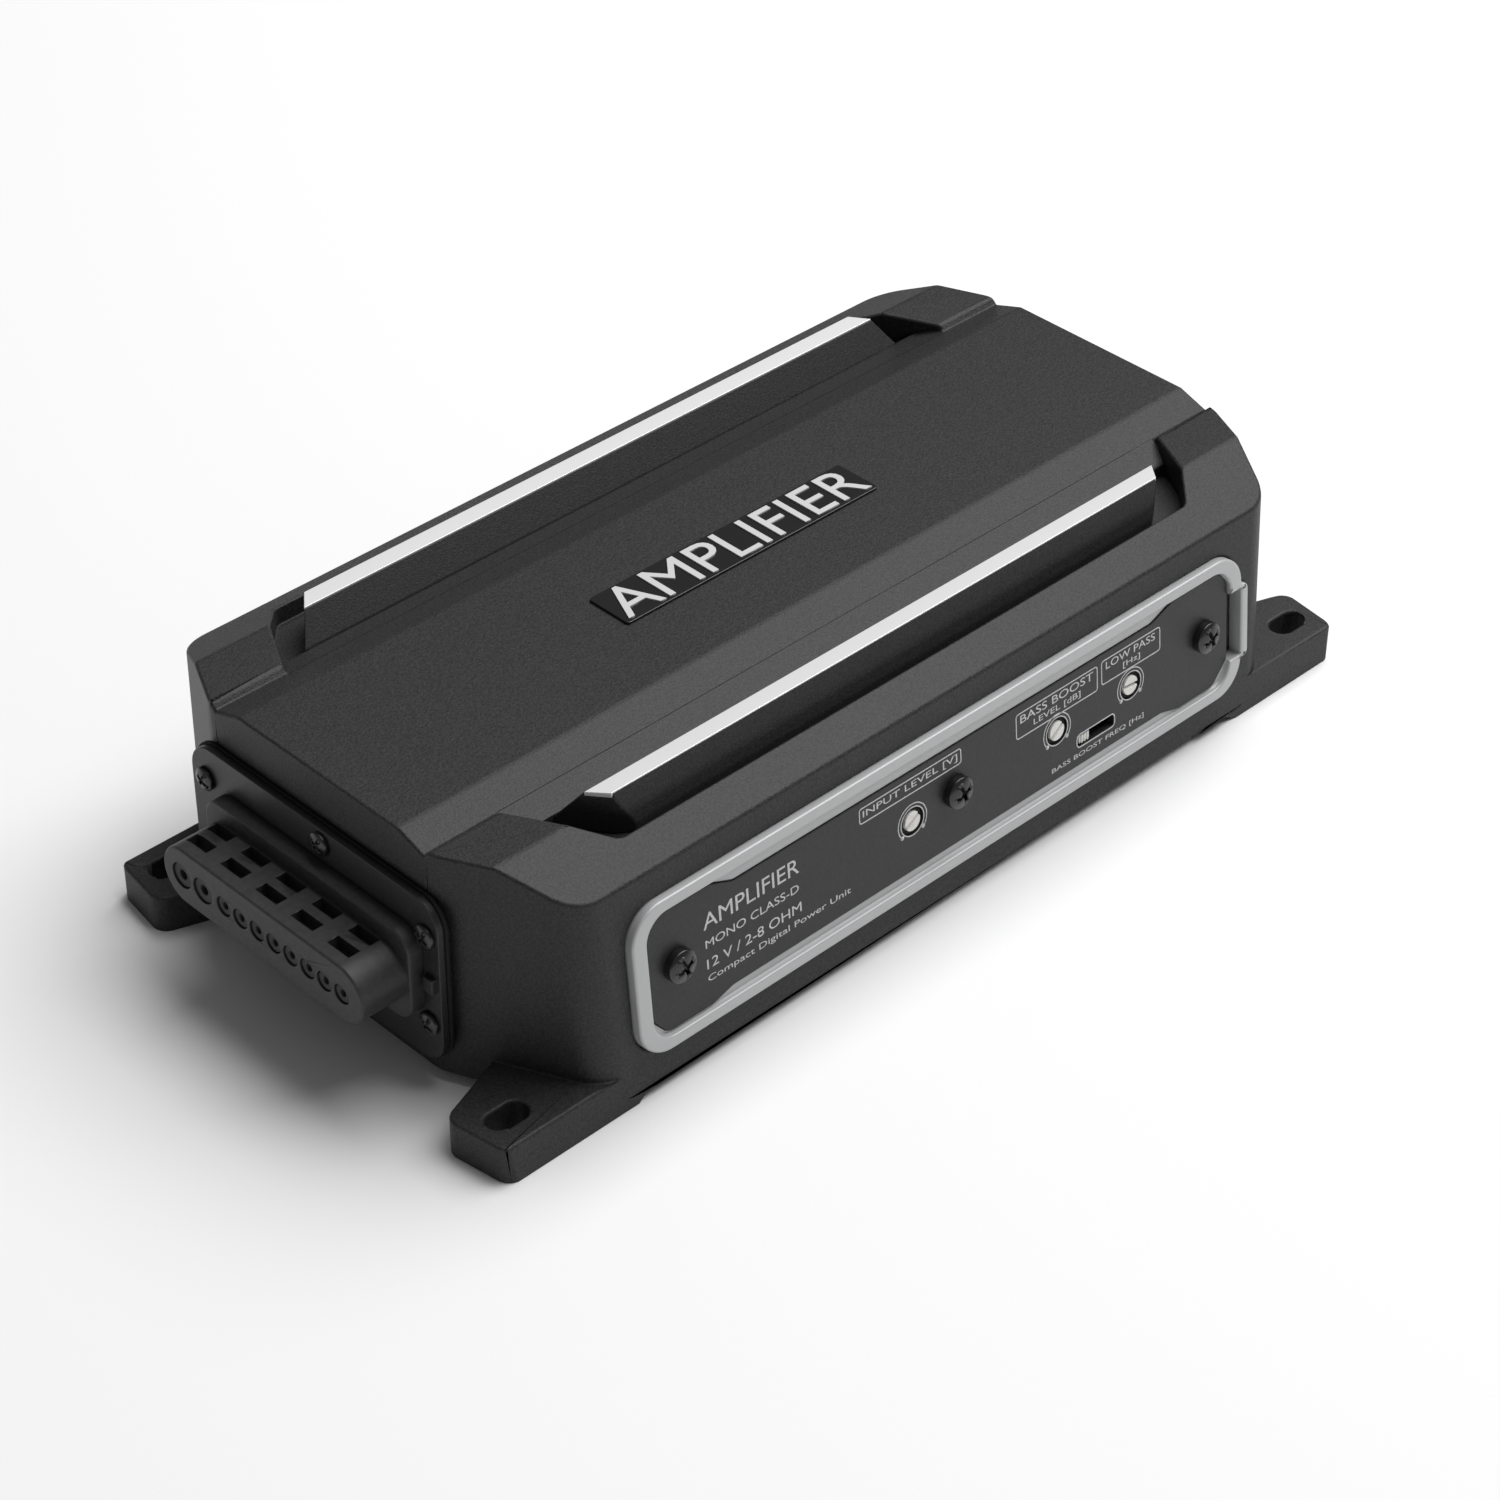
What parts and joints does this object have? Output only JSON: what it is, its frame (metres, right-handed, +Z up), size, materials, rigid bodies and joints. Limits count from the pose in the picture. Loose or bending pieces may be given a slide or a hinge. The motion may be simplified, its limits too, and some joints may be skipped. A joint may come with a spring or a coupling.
{
  "type": "car amplifier",
  "caption": "Compact weatherproof mono car amplifier: black cast body on slotted feet, silver trim strips, screwdriver-set controls on one side and a multi-way connector on one end.",
  "frame": {"origin": "centre of the four mounting slots, on the surface that the feet stand on", "axes": "+X along the body, away from the connector; +Y to the rear, away from the control panel; +Z up, out of the surface"},
  "size_m": [0.2541, 0.1245, 0.0593],
  "materials": {
    "cast_body": "fine-textured black powder coat on die-cast aluminium",
    "base_sheet": "satin black coated aluminium sheet",
    "seal_rubber": "matt black silicone",
    "steel_screws": "zinc-plated steel",
    "black_screws": "black oxide steel, slightly glossy",
    "rail_plastic": "textured black moulding",
    "bright_strip": "satin silver foil",
    "badge_plastic": "gloss black",
    "silver_bezel": "satin silver paint",
    "panel_black": "printed satin black",
    "adjuster_nylon": "white nylon",
    "pot_body": "blue moulding",
    "black_moulding": "black moulding compound",
    "board_laminate": "green solder mask",
    "connector_nylon": "dark grey glass-filled nylon",
    "copper_parts": "bare and enamelled copper",
    "toroid_paint": "yellow epoxy coat",
    "ferrite": "grey ferrite",
    "capacitor_sleeve": "dark blue sleeve",
    "film_capacitor": "red-brown dipped film",
    "gap_pad": "grey silicone pad",
    "ribbon": "flat flexible cable"
  },
  "bodies": {
    "housing": {"chassis": "cast_body", "base_cover": "base_sheet", "base_gasket": "seal_rubber", "base_screws": "steel_screws", "side_rail_front": "rail_plastic", "side_rail_rear": "rail_plastic", "trim_strip_front": "bright_strip", "trim_strip_rear": "bright_strip", "top_badge": "badge_plastic", "control_bezel": "silver_bezel", "control_plate": "panel_black", "panel_gasket": "seal_rubber", "panel_screws": "black_screws", "gain_pot": "pot_body", "boost_pot": "pot_body", "filter_pot": "pot_body", "adjuster_seals": "seal_rubber", "mode_switch_body": "black_moulding", "control_board": "board_laminate", "control_board_screws": "steel_screws", "connector_plate": "cast_body", "connector_gasket": "seal_rubber", "connector_screws": "black_screws", "connector_housing": "connector_nylon", "contact_pins": "copper_parts", "wire_seals": "seal_rubber", "connector_header": "black_moulding", "power_busbars": "copper_parts", "main_board": "board_laminate", "board_screws": "steel_screws", "toroid_core": "toroid_paint", "toroid_winding": "copper_parts", "output_inductor_core": "ferrite", "output_inductor_winding": "copper_parts", "bulk_capacitors": "capacitor_sleeve", "output_capacitors": "film_capacitor", "power_transistors": "black_moulding", "thermal_pad": "gap_pad", "clamp_bar": "steel_screws", "clamp_screws": "steel_screws", "driver_chips": "black_moulding", "signal_ribbon": "ribbon", "relay": "black_moulding"},
    "gain_adjuster": {"gain_adjuster": "adjuster_nylon"},
    "boost_adjuster": {"boost_adjuster": "adjuster_nylon"},
    "filter_adjuster": {"filter_adjuster": "adjuster_nylon"},
    "mode_switch_knob": {"mode_switch_knob": "adjuster_nylon"}
  },
  "joints": [
    {"name": "gain_turn", "type": "hinge", "parent": "housing", "child": "gain_adjuster", "pos_m": [-0.0127, -0.05766, 0.0262], "axis": [0, -0.9953, 0.0964], "range_deg": [-140, 140]},
    {"name": "boost_turn", "type": "hinge", "parent": "housing", "child": "boost_adjuster", "pos_m": [0.0306, -0.05766, 0.0262], "axis": [0, -0.9953, 0.0964], "range_deg": [-140, 140]},
    {"name": "filter_turn", "type": "hinge", "parent": "housing", "child": "filter_adjuster", "pos_m": [0.0537, -0.05766, 0.0262], "axis": [0, -0.9953, 0.0964], "range_deg": [-140, 140]},
    {"name": "mode_slide", "type": "slide", "parent": "housing", "child": "mode_switch_knob", "axis": [1, 0, 0], "range_m": [0, 0.0066]}
  ]
}
